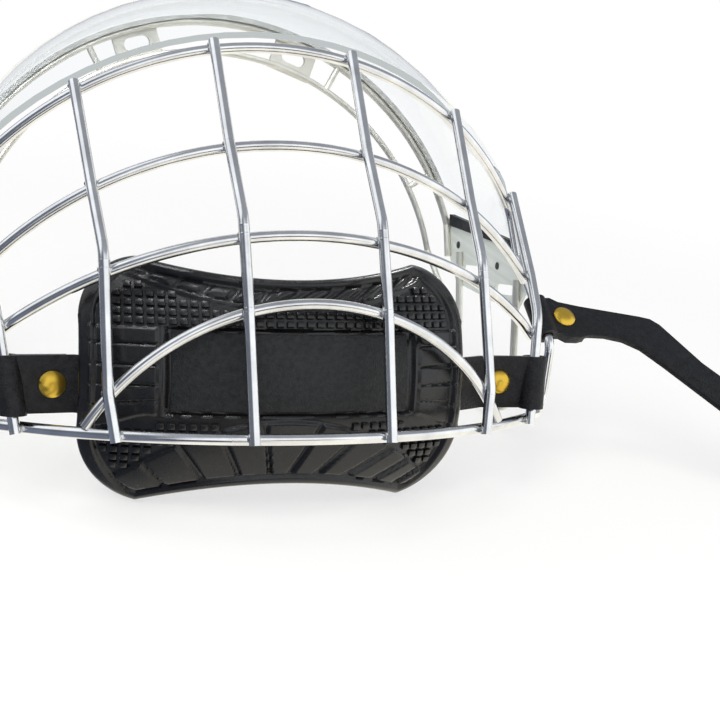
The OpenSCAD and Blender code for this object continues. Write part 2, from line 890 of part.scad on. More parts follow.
module cup_rivets() {
    brass()
        cup_at_rest()
            for (s = [-1, 1])
                rotate([0, 0, s * asin((cup_w / 2 - 8) / cup_r)])
                    translate([0, -cup_r + 1.6, panel_z - 1.8])
                        rotate([90, 0, 0]) {
                            cylinder(d = 1.6, h = 1.2);
                            translate([0, 0, 1.2])
                                intersection() {
                                    cylinder(d = 2.4, h = 1);
                                    translate([0, 0, -0.8])
                                        sphere(d = 3.2);
                                }
                        }
}

// ---- chin strap: an arc behind the cup, straight legs, and a fold round each outer upright ----
// the legs run from the arc's end to the upright, in plan
side_dir = unit(lay_pt(2, 1) - lay_pt(2, 0));
function on_upright(z) = lay_pt(2, 0) + side_dir * ((z - lay_pt(2, 0)[2]) / side_dir[2]);
strap_eye = on_upright(cup_z - strap_drop);
leg_a = 33;
leg_from = [cup_c[0] + strap_mid * sin(leg_a), cup_c[1] - strap_mid * cos(leg_a)];
leg_to = [strap_eye[0], strap_eye[1]];
leg_dir = (leg_to - leg_from) / norm(leg_to - leg_from);
leg_side = [leg_dir[1], -leg_dir[0]];
leg_turn = atan2(leg_dir[1], leg_dir[0]);
eye_r = wire_d / 2 + loop_gap;
strap_low = cup_z - strap_w / 2 - strap_drop;
stud_along = (stud_half - leg_from[0]) / leg_dir[0];
fold_len = norm(leg_to - leg_from) - stud_along + 4.4;

module eye(a, b, r_in, r_out) {
    difference() {
        bar(a, b, 2 * r_out);
        bar(a - (b - a) * 0.1, b + (b - a) * 0.1, 2 * r_in);
    }
}

module leg_frame() {
    translate([leg_from[0], leg_from[1], strap_low])
        rotate([0, 0, leg_turn])
            children();
}

// a straight leg with its fold behind it, and the eye cut level with the strap's edges
module strap_leg() {
    len = norm(leg_to - leg_from);
    difference() {
        union() {
            leg_frame() {
                translate([0, -strap_t / 2, 0])
                    cube([len - 0.6, strap_t, strap_w]);
                translate([len - fold_len, strap_t / 2 - 0.1, 0])
                    cube([fold_len - 2, strap_t, strap_w]);
                cylinder(d = strap_t + 0.24, h = strap_w);
            }
            intersection() {
                bar(on_upright(strap_low - 3), on_upright(strap_low + strap_w + 3),
                    2 * (eye_r + strap_t));
                translate([leg_to[0] - 8, leg_to[1] - 8, strap_low])
                    cube([16, 16, strap_w]);
            }
        }
        bar(on_upright(strap_low - 4), on_upright(strap_low + strap_w + 4), 2 * eye_r);
        leg_frame()
            translate([stud_along, 5, strap_w / 2])
                rotate([90, 0, 0])
                    cylinder(d = post_d + 0.1, h = 10);
    }
}

module chin_strap() {
    black() {
        translate([cup_c[0], cup_c[1], strap_low])
            rotate([0, 0, -90 - leg_a])
                rotate_extrude(angle = 2 * leg_a, $fn = 160)
                    translate([strap_out - strap_t, 0])
                        square([strap_t, strap_w]);
        strap_leg();
        mirror([1, 0, 0])
            strap_leg();
    }
}

// cap on the front face, socket on the back face; local Z points out of the front
module stud_cap(stack) {
    difference() {
        intersection() {
            cylinder(d = cap_d, h = cap_h);
            translate([0, 0, cap_h - (pow(cap_d / 2, 2) + pow(cap_h - 0.4, 2)) / (2 * (cap_h - 0.4))])
                sphere(r = (pow(cap_d / 2, 2) + pow(cap_h - 0.4, 2)) / (2 * (cap_h - 0.4)), $fn = 64);
        }
        translate([0, 0, -1])
            cylinder(d = post_d - 0.8, h = 1.3);
    }
    translate([0, 0, -stack - 0.8])
        difference() {
            cylinder(d = post_d, h = stack + 0.9);
            translate([0, 0, -1])
                cylinder(d = post_d - 0.8, h = 2);
        }
}

module stud_socket(stack) {
    translate([0, 0, -stack - 1.4])
        difference() {
            union() {
                translate([0, 0, 0.5])
                    cylinder(d = cap_d - 0.8, h = 0.9);
                cylinder(d = post_d + 2, h = 1.4);
            }
            translate([0, 0, -1])
                cylinder(d = post_d + 0.1, h = 4);
        }
}

module at_chin_stud() {
    leg_frame()
        translate([stud_along, -strap_t / 2, strap_w / 2])
            rotate([90, 0, 0])
                children();
}

module chin_stud_caps() {
    brass() {
        at_chin_stud()
            stud_cap(2 * strap_t);
        mirror([1, 0, 0])
            at_chin_stud()
                stud_cap(2 * strap_t);
    }
}

module chin_stud_sockets() {
    brass() {
        at_chin_stud()
            stud_socket(2 * strap_t);
        mirror([1, 0, 0])
            at_chin_stud()
                stud_socket(2 * strap_t);
    }
}

// ---- side straps: flat, cut with a dog-leg, folded round the slanting side wire ----
slant = unit(hip - knee);
side_o = knee + slant * 10.3;
side_u = unit([1, 0, 0] - slant * slant[0]);
side_n = cross(side_u, slant);
side_eye = wire_d / 2 + gap;
// the strap is drawn with X outwards and Y along the wire
side_end = [73, -51];

module side_frame() {
    multmatrix([[side_u[0], slant[0], side_n[0], side_o[0]],
            [side_u[1], slant[1], side_n[1], side_o[1]],
            [side_u[2], slant[2], side_n[2], side_o[2]]])
        children();
}

// the strap seen flat: the loop's end towards -X, then the dog-leg
module side_outline() {
    h = side_loop / 2;
    polygon([[-8, -h], [4.6, -h], [6.8, -h - 1.6], [11, -h - 1.8], [14.5, -8.3], [20.6, -8.7], [27, -10.4],
        [32.7, -13.8], [39.2, -20.9], [side_end[0] - 5, side_end[1] - 4], [side_end[0] + 5, side_end[1] + 4],
        [54.3, -20.3], [48.3, -11.3], [43.9, -4.2], [41, -1.8], [37, -0.7], [29, 1], [15, 3.7],
        [7.5, 5.6], [4.9, h], [-8, h]]);
    translate(side_end)
        circle(r = 7);
}

// the strap seen along the wire: round the wire, with the short fold behind
module side_section() {
    difference() {
        union() {
            circle(r = side_eye + side_t, $fn = 64);
            square([side_end[0] + 20, side_t]);
            translate([0, -side_t])
                square([13.5, side_t + 0.4]);
        }
        circle(r = side_eye, $fn = 64);
    }
}

stud_side = [7.8, -0.7];

module side_strap() {
    black()
        side_frame()
            difference() {
                intersection() {
                    rotate([90, 0, 0])
                        translate([0, 0, -30])
                            linear_extrude(110)
                                side_section();
                    translate([0, 0, -9])
                        linear_extrude(18)
                            side_outline();
                }
                translate([stud_side[0], stud_side[1], -5])
                    cylinder(d = post_d + 0.1, h = 10);
                translate([side_end[0], side_end[1], -5])
                    cylinder(d = socket_bore + 1.3, h = 10);
            }
}

module side_strap_right() {
    side_strap();
}

module side_strap_left() {
    mirror([1, 0, 0])
        side_strap();
}

module side_stud_cap() {
    brass()
        side_frame()
            translate([stud_side[0], stud_side[1], side_t])
                stud_cap(2 * side_t);
}

module side_stud_cap_right() {
    side_stud_cap();
}

module side_stud_cap_left() {
    mirror([1, 0, 0])
        side_stud_cap();
}

module side_stud_socket() {
    brass()
        side_frame()
            translate([stud_side[0], stud_side[1], side_t])
                stud_socket(2 * side_t);
}

module side_stud_socket_right() {
    side_stud_socket();
}

module side_stud_socket_left() {
    mirror([1, 0, 0])
        side_stud_socket();
}

// an eyelet clamped through the strap, whose bore goes over the helmet's stud
module end_socket() {
    brass()
        side_frame()
            translate([side_end[0], side_end[1], 0])
                difference() {
                    union() {
                        translate([0, 0, side_t])
                            cylinder(d = cap_d + 1.6, h = 0.8);
                        translate([0, 0, -1.6])
                            cylinder(d = cap_d + 1, h = 1.6);
                        translate([0, 0, -1])
                            cylinder(d = socket_bore + 1.2, h = side_t + 1.5);
                    }
                    translate([0, 0, -3])
                        cylinder(d = socket_bore, h = 8);
                }
}

module end_socket_right() {
    end_socket();
}

module end_socket_left() {
    mirror([1, 0, 0])
        end_socket();
}

bottom_frame_wire();
frame_side_left();
frame_side_right();
top_frame_wire();
chin_arch_wire();
lower_cross_wire();
upper_cross_wire();
upright_outer_left();
upright_middle_left();
upright_inner_left();
upright_inner_right();
upright_middle_right();
upright_outer_right();
rear_loop_left();
rear_loop_right();
outer_hoop_wire();
inner_hoop_wire();
hoop_links();
brow_lug_left();
brow_lug_right();
side_plate_left();
side_plate_right();
plate_trim_left();
plate_trim_right();
visor();
visor_edge_trim();
visor_rivets();
rivet_washers();
chin_cup();
cup_panel();
cup_rivets();
chin_strap();
chin_stud_caps();
chin_stud_sockets();
side_strap_left();
side_strap_right();
side_stud_cap_left();
side_stud_cap_right();
side_stud_socket_left();
side_stud_socket_right();
end_socket_left();
end_socket_right();
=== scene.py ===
import math

import bmesh
import bpy
from mathutils import Matrix, Vector
from mathutils.kdtree import KDTree


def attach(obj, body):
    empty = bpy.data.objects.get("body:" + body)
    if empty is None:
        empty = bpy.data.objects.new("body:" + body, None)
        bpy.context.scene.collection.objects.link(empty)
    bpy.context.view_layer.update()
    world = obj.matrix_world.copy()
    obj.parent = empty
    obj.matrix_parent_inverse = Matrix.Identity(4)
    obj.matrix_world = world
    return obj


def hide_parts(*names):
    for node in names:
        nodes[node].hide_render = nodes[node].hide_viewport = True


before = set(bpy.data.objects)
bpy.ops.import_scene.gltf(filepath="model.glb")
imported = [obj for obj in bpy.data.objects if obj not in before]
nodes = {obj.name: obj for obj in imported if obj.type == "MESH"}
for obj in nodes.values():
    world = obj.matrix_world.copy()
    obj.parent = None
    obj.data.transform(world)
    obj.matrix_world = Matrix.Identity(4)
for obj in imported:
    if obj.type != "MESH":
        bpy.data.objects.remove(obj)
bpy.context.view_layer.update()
print("frame loaded:", len(nodes), "nodes")

# the cage is drawn upright, then leans back on the table; lengths are in millimetres
seat = {"lean": 14.7986, "back": 76.88, "lift": 29.7342}
toTable = (Matrix.Scale(0.001, 4) @ Matrix.Translation((0, -seat["back"], seat["lift"]))
           @ Matrix.Rotation(math.radians(-seat["lean"]), 4, "X"))


# camera
view = {"location": (-0.1176, -0.37576, 0.16848), "angles": (70.1729, -7.6317, -19.9558), "lens": 64.3}
cameraData = bpy.data.cameras.new("camera")
cameraData.lens = view["lens"]
cameraData.sensor_width = 36
cameraData.clip_start = 0.01
camera = bpy.data.objects.new("camera", cameraData)
camera.location = view["location"]
camera.rotation_euler = [math.radians(a) for a in view["angles"]]
bpy.context.scene.collection.objects.link(camera)
bpy.context.scene.camera = camera
bpy.context.scene.view_settings.view_transform = "Standard"


# materials
def hexColour(text):
    parts = [int(text[i:i + 2], 16) / 255 for i in (0, 2, 4)]
    return [p / 12.92 if p <= 0.04045 else ((p + 0.055) / 1.055) ** 2.4 for p in parts] + [1.0]


def addNode(tree, kind, at=(0, 0), settings=None, values=None, links=None):
    # settings are the node's own; values and links go to its inputs, by name or number
    node = tree.nodes.new(kind)
    node.location = at
    for key, value in (settings or {}).items():
        setattr(node, key, value)
    for key, value in (values or {}).items():
        node.inputs[key].default_value = value
    for key, source in (links or {}).items():
        tree.links.new(source, node.inputs[key])
    return node


def newMaterial(name):
    material = bpy.data.materials.new(name)
    material.use_nodes = True
    material.node_tree.nodes.clear()
    return material, material.node_tree


def setStops(ramp, stops):
    elements = ramp.color_ramp.elements
    for end, (position, colour) in ((0, stops[0]), (1, stops[-1])):
        elements[end].position = position
        elements[end].color = hexColour(colour)
    for position, colour in stops[1:-1]:
        elements.new(position).color = hexColour(colour)


# tone, wear and bump are noise, by the size of its spots in millimetres and its detail, and for a bump its
# strength and its depth in metres; grain is cells, by their size in millimetres, their strength and depth
looks = {
    # drawn stainless wire, polished: nearly a mirror, so it carries the room's light and dark bands
    "polished_wire": {"dark": "D6D6D6", "light": "F0F0EF", "tone": (8.33, 3), "wear": (2.5, 4),
                      "rough": (0.15, 0.21), "metal": 1.0, "bump": (11.1, 2, 0.06, 0.0003)},
    # the wires behind, as they show in the photograph: pale satin, with soft light along them
    "hoop_wire": {"dark": "D6D5CC", "light": "EBEAE2", "tone": (8.33, 3), "wear": (2, 4),
                  "rough": (0.42, 0.52), "metal": 0.8, "bump": (8.33, 2, 0.06, 0.0003)},
    # spot welds left as they came: small, uneven and a little burnt
    "weld_bead": {"dark": "8C8880", "light": "D9D6D0", "tone": (0.909, 3), "wear": (0.667, 4),
                  "rough": (0.16, 0.42), "metal": 1.0, "bump": (0.769, 3, 0.5, 0.0003)},
    # sheet steel brushed from front to back: pale, with streaks that run that way
    "brushed_plate": {"dark": "E2E7DF", "light": "F0F4EE", "tone": (10, 3), "wear": (5, 3),
                      "rough": (0.4, 0.55), "metal": 0.2, "bump": (5, 3, 0.12, 0.0002), "stretch": (4, 0.12, 7)},
    # moulded black rubber: dark and half glossy, with sharp glints on its edges
    "moulded_rubber": {"dark": "0B0B0C", "light": "141415", "tone": (6.25, 3), "wear": (1.43, 5),
                       "rough": (0.24, 0.38), "bump": (0.556, 4, 0.12, 0.0003), "specular": 0.38},
    # pressed brass caps: a warm yellow with one soft highlight
    "brass_dome": {"dark": "D6AC38", "light": "E4C050", "tone": (16.7, 3), "wear": (3.33, 2),
                   "rough": (0.26, 0.32), "metal": 0.9, "bump": (3.33, 2, 0.01, 0.0001)},
    # rubber edging on the plates: matt and almost black
    "edge_rubber": {"dark": "19191B", "light": "2C2C2E", "tone": (3.33, 3), "wear": (1.11, 4),
                    "rough": (0.45, 0.65), "bump": (0.667, 4, 0.12, 0.0002)},
    # the same in pale grey, on the visor's edge
    "pale_rubber": {"dark": "B9BBB7", "light": "D2D3CF", "tone": (3.33, 3), "wear": (1.11, 4),
                    "rough": (0.45, 0.65), "bump": (0.667, 4, 0.12, 0.0002)},
    # darkened steel rivets: small dark dots on the bright plate
    "dark_rivet": {"dark": "3A3D3C", "light": "565A58", "tone": (2, 3), "wear": (1.11, 4),
                   "rough": (0.35, 0.5), "metal": 0.6},
    # coated black leather: fine pores and a dull sheen; both leathers' pores are drawn coarser than real
    # ones, because those wouldn't show
    "grained_leather": {"dark": "0F0F10", "light": "1B1B1D", "tone": (1.905, 3), "wear": (1.111, 4),
                        "rough": (0.38, 0.56), "grain": (0.667, 0.55, 0.0003), "specular": 0.3},
    # the panel's leather: a finer grain, a little greyer
    "panel_leather": {"dark": "151617", "light": "232425", "tone": (1.36, 3), "wear": (0.794, 4),
                      "rough": (0.34, 0.48), "grain": (0.476, 0.55, 0.0003), "specular": 0.3}}
# most of a noise lies between these two values
noiseSpan = (0.3, 0.7)


def worn(name):
    # a shader whose colour and roughness both wander a little over the piece
    look = looks[name]
    material, tree = newMaterial(name)
    piece = addNode(tree, "ShaderNodeTexCoord", (-900, 0)).outputs["Object"]
    point = addNode(tree, "ShaderNodeMapping", (-700, 0), values={"Scale": look.get("stretch", (1, 1, 1))},
                    links={"Vector": piece}).outputs["Vector"]
    spots = {}
    for n, use in enumerate(("tone", "wear", "bump")):
        if use in look:
            size, detail = look[use][:2]
            spots[use] = addNode(tree, "ShaderNodeTexNoise", (-450, -250 * n), links={"Vector": point},
                                 values={"Scale": 1000 / size, "Detail": detail}).outputs["Fac"]
    tone = addNode(tree, "ShaderNodeValToRGB", (150, 250), links={"Fac": spots["tone"]})
    setStops(tone, list(zip(noiseSpan, (look["dark"], look["light"]))))
    wear = addNode(tree, "ShaderNodeMapRange", (-150, 0), links={"Value": spots["wear"]},
                   values={"From Min": noiseSpan[0], "From Max": noiseSpan[1],
                           "To Min": look["rough"][0], "To Max": look["rough"][1]})
    shader = addNode(tree, "ShaderNodeBsdfPrincipled", (600, 0),
                     values={"Metallic": look.get("metal", 0.0),
                             "Specular IOR Level": look.get("specular", 0.5)},
                     links={"Base Color": tone.outputs["Color"], "Roughness": wear.outputs["Result"]})
    if "bump" in look:
        strength, deep = look["bump"][2:]
        bump = addNode(tree, "ShaderNodeBump", (350, -300), values={"Strength": strength, "Distance": deep},
                       links={"Height": spots["bump"]})
        tree.links.new(bump.outputs["Normal"], shader.inputs["Normal"])
    addNode(tree, "ShaderNodeOutputMaterial", (1100, 0), links={"Surface": shader.outputs["BSDF"]})
    return material, tree, shader, point


def plain(name):
    return worn(name)[0]


def clearShell():
    # moulded polycarbonate: clear, with a faint haze, and a painted pale glow at its edges
    look = {"tint": "FAFCFD", "rough": (0.0, 0.015), "hazeSize": 16.7, "ior": 1.12,
            "caughtAfter": 5.5, "edge": "D5DBDB", "paintedGlow": 0.8}
    material, tree = newMaterial("clear_shell")
    piece = addNode(tree, "ShaderNodeTexCoord", (-900, 0)).outputs["Object"]
    haze = addNode(tree, "ShaderNodeTexNoise", (-450, 0), links={"Vector": piece},
                   values={"Scale": 1000 / look["hazeSize"], "Detail": 3})
    rough = addNode(tree, "ShaderNodeMapRange", (-150, 0), links={"Value": haze.outputs["Fac"]},
                    values={"From Min": noiseSpan[0], "From Max": noiseSpan[1],
                            "To Min": look["rough"][0], "To Max": look["rough"][1]})
    shader = addNode(tree, "ShaderNodeBsdfPrincipled", (600, 0), links={"Roughness": rough.outputs["Result"]},
                     values={"Base Color": hexColour(look["tint"]), "Transmission Weight": 1.0,
                             "IOR": look["ior"]})
    # painted glow: once a ray has bounced more than five times, the shell shows a pale emission instead,
    # standing in for light caught between the faces, so it comes out pale at the edge
    depth = addNode(tree, "ShaderNodeLightPath", (300, 500)).outputs["Ray Depth"]
    caught = addNode(tree, "ShaderNodeMath", (500, 500), {"operation": "GREATER_THAN"},
                     {1: look["caughtAfter"]}, {0: depth})
    # the painted glow itself: a pale emission, not a lamp
    pale = addNode(tree, "ShaderNodeEmission", (600, 300),
                   values={"Color": hexColour(look["edge"]), "Strength": look["paintedGlow"]})
    shown = addNode(tree, "ShaderNodeMixShader", (850, 200),
                    links={0: caught.outputs[0], 1: shader.outputs["BSDF"], 2: pale.outputs[0]})
    addNode(tree, "ShaderNodeOutputMaterial", (1100, 0), links={"Surface": shown.outputs[0]})
    return material


def mouldedRubber():
    dust = {"colour": "6A6A66", "apart": 2.38, "none": 0.022, "whole": 0.012}
    coat = {"weight": 0.25, "rough": 0.16}
    material, tree, shader, point = worn("moulded_rubber")
    body = shader.inputs["Base Color"].links[0].from_socket
    specks = addNode(tree, "ShaderNodeTexVoronoi", (-450, 500), {"feature": "F1"},
                     {"Scale": 1000 / dust["apart"]}, {"Vector": point})
    share = addNode(tree, "ShaderNodeMapRange", (150, 500), links={"Value": specks.outputs["Distance"]},
                    values={"From Min": dust["none"], "From Max": dust["whole"]})
    dusty = addNode(tree, "ShaderNodeMix", (400, 350), {"data_type": "RGBA"}, {7: hexColour(dust["colour"])},
                    {0: share.outputs["Result"], 6: body})
    tree.links.new(dusty.outputs[2], shader.inputs["Base Color"])
    shader.inputs["Coat Weight"].default_value = coat["weight"]
    shader.inputs["Coat Roughness"].default_value = coat["rough"]
    return material


def leather(name):
    creases = {"size": 5.56, "detail": 3, "strength": 0.3, "deep": 0.0006}
    size, strength, deep = looks[name]["grain"]
    material, tree, shader, point = worn(name)
    pores = addNode(tree, "ShaderNodeTexVoronoi", (-450, -500), {"feature": "F1"}, {"Scale": 1000 / size},
                    {"Vector": point})
    porous = addNode(tree, "ShaderNodeBump", (350, -300), values={"Strength": strength, "Distance": deep},
                     links={"Height": pores.outputs["Distance"]})
    folds = addNode(tree, "ShaderNodeTexNoise", (-450, -750), links={"Vector": point},
                    values={"Scale": 1000 / creases["size"], "Detail": creases["detail"]})
    folded = addNode(tree, "ShaderNodeBump", (350, -600),
                     values={"Strength": creases["strength"], "Distance": creases["deep"]},
                     links={"Height": folds.outputs["Fac"], "Normal": porous.outputs["Normal"]})
    tree.links.new(folded.outputs["Normal"], shader.inputs["Normal"])
    return material



finish = {"wire": plain("polished_wire"), "hoop": plain("hoop_wire"), "weld": plain("weld_bead"),
          "plate": plain("brushed_plate"), "clear": clearShell(), "rubber": mouldedRubber(),
          "leather": leather("grained_leather"), "panel": leather("panel_leather"),
          "brass": plain("brass_dome"), "trim": plain("edge_rubber"), "paleTrim": plain("pale_rubber"),
          "rivet": plain("dark_rivet")}


def finishOf(node):
    if node == "visor":
        return "clear"
    if node.startswith("side_plate"):
        return "plate"
    if "trim" in node:
        return "paleTrim" if node.startswith("visor") else "trim"
    if node == "visor_rivets":
        return "rivet"
    if "stud" in node or "socket" in node or node == "cup_rivets":
        return "brass"
    if "hoop" in node or "loop" in node or "lug" in node:
        return "hoop"
    if node == "cup_panel":
        return "panel"
    if "strap" in node:
        return "leather"
    return "rubber" if node == "chin_cup" else "wire"


def dress(thing, name):
    thing.data.materials.clear()
    thing.data.materials.append(finish[name])


for name, node in nodes.items():
    dress(node, finishOf(name))
print("CAD nodes dressed")


# ways of making a piece
def startPiece(name):
    thing = bpy.context.object
    thing.name = thing.data.name = name
    return thing


def clearSelection():
    if bpy.context.object and bpy.context.object.mode != "OBJECT":
        bpy.ops.object.mode_set(mode="OBJECT")
    bpy.ops.object.select_all(action="DESELECT")


def onlySelect(thing):
    clearSelection()
    thing.select_set(True)
    bpy.context.view_layer.objects.active = thing


def applyModifiers(thing):
    onlySelect(thing)
    for m in list(thing.modifiers):
        bpy.ops.object.modifier_apply(modifier=m.name)


def settle(thing, body, name, angle=40):
    onlySelect(thing)
    bpy.ops.object.transform_apply(location=True, rotation=True, scale=True)
    bpy.ops.object.shade_smooth_by_angle(angle=math.radians(angle))
    dress(thing, name)
    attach(thing, body)


def place(x, y, z):
    return toTable @ Vector((x, y, z))


# chin cup
# lengths in millimetres, x along the cup and z up, both from its middle
cup = {"width": 112.0, "height": 67.0, "waist": 5.0, "lobe": 1.7, "corner": 17.0, "lowCorner": 22.0,
       "bowShare": 0.36, "round": 120.0, "sideRound": 50.0, "wall": 3.0, "front": 8.0, "middle": 13.5,
       "turn": 3.35, "columns": 250, "rows": 150, "crowd": 0.22}
rim = {"up": 1.5, "thin": 2.9, "broad": 4.6, "broadens": (40, 51), "crest": 2.0, "crestShare": 0.45,
       "slope": 0.9, "inside": (-0.2, 0.6)}
recess = {"left": -34.4, "right": 38.3, "low": -8.6, "high": 15.2, "deep": 1.5, "leftFade": (-0.3, 1.6),
          "lowFade": (-0.3, 0.2), "fade": (-0.2, 0.3)}
# the upper band: a collared tube on one half, slender bars that sweep up and out on the other
upper = {"low": 20.5, "bow": 0.0047, "reach": 47, "line": 0.6, "lineFade": (0.25, 0.8), "start": (0.4, 1.0),
         "leastRoom": 1.5, "tubeEnd": -3, "tubeHalf": 0.42, "tubeUp": 1.15, "collarFrom": 38,
         "collarLean": 4.5, "collarPitch": 7.6, "collarDip": 0.75, "collarFade": (0.7, 1.3), "barUp": 1.2,
         "barLean": 2.2, "barPitch": 10.5, "barHalf": 3.4, "barFoot": (0.02, 0.18)}
# the lower band, cut by grooves: two ends and half a width each
lower = {"high": -9.8, "bow": 0.0082, "up": 1.2, "start": (-0.3, 0.7), "fromRim": (0.2, 0.9),
         "flat": 0.6, "wall": 0.5, "least": 0.75, "more": 0.45, "rises": (14, 28)}
grooves = [((-38, -23), (-31, -30), 0.5), ((-29, -17.5), (-20.5, -28.5), 0.7),
           ((-18.5, -13.5), (-11.5, -27), 0.8), ((-6.5, -11.5), (-3.5, -26), 0.6),
           ((9.5, -11.5), (1.5, -26), 0.8), ((22, -14), (8.8, -26.5), 1.1),
           ((33.5, -18), (17, -27.5), 1.2), ((39, -22.5), (26, -29.5), 1.1), ((43.5, -26), (35, -31), 0.9)]
# the slats at the flanks
slats = {"fromRight": 1.4, "fromLeft": 1.2, "fade": 0.5, "out": (52.6, 53.1), "top": (14.4, 14.9),
         "low": -12.5, "lowUp": 3.5, "lowFade": (-51, -38), "gaps": (10.4, 4.7, -0.7, -5.6),
         "gapFade": (0.2, 0.5), "lean": 0.18, "leanFrom": 45, "leanFade": (2, 8), "up": 0.55}
studs = {"wide": 2.15, "tall": 1.72, "up": 1.15, "bevel": 0.3, "sunk": 0.25, "pitchX": 2.88, "pitchZ": 2.36,
         "columns": 39, "rows": 31, "shift": 0.1, "rimThin": 3.4, "rimBroad": 4.6, "broadFrom": 44,
         "outermost": 52.2, "cornerGap": 0.6, "gap": 1.2, "slatsFrom": 37, "slatsDown": 4.0}


def step(value, low, high):
    t = min(1.0, max(0.0, (value - low) / (high - low)))
    return t * t * (3 - 2 * t)


def onCup(x, z, height=0.0):
    # a point over the cup's face: x along it, z up, height outwards
    tube = cup["sideRound"]
    middle = cup["round"] - tube
    lift = math.asin(max(-0.99, min(0.99, z / tube)))
    swing = math.asin(x / (middle + tube * math.cos(lift)))
    reach = middle + (tube + height) * math.cos(lift)
    turn = math.radians(-cup["turn"])
    a = swing + turn
    return place(reach * math.sin(a), cup["front"] + cup["round"] - reach * math.cos(a),
                 cup["middle"] + (tube + height) * math.sin(lift))


def cupReach(x, high, waist, corner):
    # from the cup's middle to its upper or lower edge, at a place along it
    x = abs(x)
    flat = cup["width"] / 2 - corner
    bow = ((cup["width"] * cup["bowShare"]) ** 2 + waist ** 2) / (2 * waist)
    drawn = high - waist + bow - math.sqrt(bow * bow - x * x)
    if x > flat:
        high = high - corner + math.sqrt(max(0.0, corner ** 2 - (x - flat) ** 2))
    return min(high, drawn)


def cupTop(x):
    return cupReach(x, cup["height"] / 2, cup["waist"], cup["corner"])


def cupFoot(x):
    return cupReach(x, cup["height"] / 2 + cup["lobe"], cup["waist"] + cup["lobe"], cup["lowCorner"])


def cupEdgeTree():
    half, steps, endSteps = cup["width"] / 2, 3000, 400
    points = []
    for i in range(steps + 1):
        x = (2 * i / steps - 1) * half
        points += [(x, 0, cupTop(x)), (x, 0, -cupFoot(x))]
    low, high = -cupFoot(half), cupTop(half)
    for s in (-1, 1):
        points += [(s * half, 0, low + (high - low) * i / endSteps) for i in range(endSteps + 1)]
    tree = KDTree(len(points))
    for i, p in enumerate(points):
        tree.insert(p, i)
    tree.balance()
    return tree


def fromLine(x, z, a, b):
    dx, dz = b[0] - a[0], b[1] - a[1]
    t = max(0.0, min(1.0, ((x - a[0]) * dx + (z - a[1]) * dz) / (dx * dx + dz * dz)))
    return math.hypot(x - a[0] - t * dx, z - a[1] - t * dz)


def bandTop(x):
    return upper["low"] + upper["bow"] * x * x


def bandLow(x):
    return lower["high"] - lower["bow"] * x * x


def upperBand(x, z):
    room = max(upper["leastRoom"], cupTop(x) - rim["thin"] - bandTop(x))
    v = (z - bandTop(x)) / room
    if x < upper["tubeEnd"]:
        tube = math.sqrt(max(0.0, 1 - ((v - 0.5) / upper["tubeHalf"]) ** 2))
        phase = (x + upper["collarFrom"] - upper["collarLean"] * (v - 0.5)) / upper["collarPitch"]
        near = abs(phase - round(phase)) * upper["collarPitch"]
        return tube * (upper["tubeUp"] - upper["collarDip"] * (1 - step(near, *upper["collarFade"])))
    run = (x - upper["barLean"] * (z - bandTop(x))) / upper["barPitch"]
    near = abs(run - round(run)) * upper["barPitch"]
    bar = upper["barUp"] * math.sqrt(max(0.0, 1 - (near / upper["barHalf"]) ** 2))
    return bar * step(v, *upper["barFoot"])


def rimHeight(wide, fromEdge):
    crest = min(rim["crest"], wide * rim["crestShare"])
    if fromEdge < crest:
        return rim["up"] * math.sqrt(max(0.0, 1 - (1 - fromEdge / crest) ** 2))
    return rim["up"] * (1 - step(fromEdge, wide - rim["slope"], wide))


def upperHeight(x, z):
    above = z - bandTop(x)
    if above <= -1 or abs(x) >= upper["reach"]:
        return 0.0
    line = upper["line"] * (1 - step(abs(above), *upper["lineFade"]))
    return line + step(above, *upper["start"]) * upperBand(x, z)


def lowerHeight(x, z, fromRim):
    below = bandLow(x) - z
    if below <= -1:
        return 0.0
    band = step(below, *lower["start"]) * step(fromRim, *lower["fromRim"])
    cut = 0.0
    for a, b, half in grooves:
        flat = half * lower["flat"]
        cut = max(cut, 1 - step(fromLine(x, z, a, b), flat, flat + lower["wall"]))
    return lower["up"] * (lower["least"] + lower["more"] * step(-z, *lower["rises"])) * band * (1 - cut)


def recessDepth(x, z):
    across = step(x - recess["left"], *recess["leftFade"]) * (1 - step(x - recess["right"], *recess["fade"]))
    up = step(z - recess["low"], *recess["lowFade"]) * (1 - step(z - recess["high"], *recess["fade"]))
    return recess["deep"] * across * up


def slatHeight(x, z):
    ax = abs(x)
    start = recess["right"] + slats["fromRight"] if x > 0 else slats["fromLeft"] - recess["left"]
    low = slats["low"] + slats["lowUp"] * step(-ax, *slats["lowFade"])
    pad = step(ax, start, start + slats["fade"]) * (1 - step(ax, *slats["out"]))
    pad *= step(z, low, low + slats["fade"]) * (1 - step(z, *slats["top"]))
    lean = slats["lean"] * (ax - slats["leanFrom"]) * step(-z, *slats["leanFade"])
    near = min(abs(z + lean - gap) for gap in slats["gaps"])
    return slats["up"] * pad * step(near, *slats["gapFade"])


def cupRelief(x, z, fromEdge):
    wide = rim["thin"] + (rim["broad"] - rim["thin"]) * step(abs(x), *rim["broadens"])
    inner = step(fromEdge - wide, *rim["inside"])
    return (rimHeight(wide, fromEdge) + inner * upperHeight(x, z) + lowerHeight(x, z, fromEdge - wide)
            - recessDepth(x, z) + slatHeight(x, z))


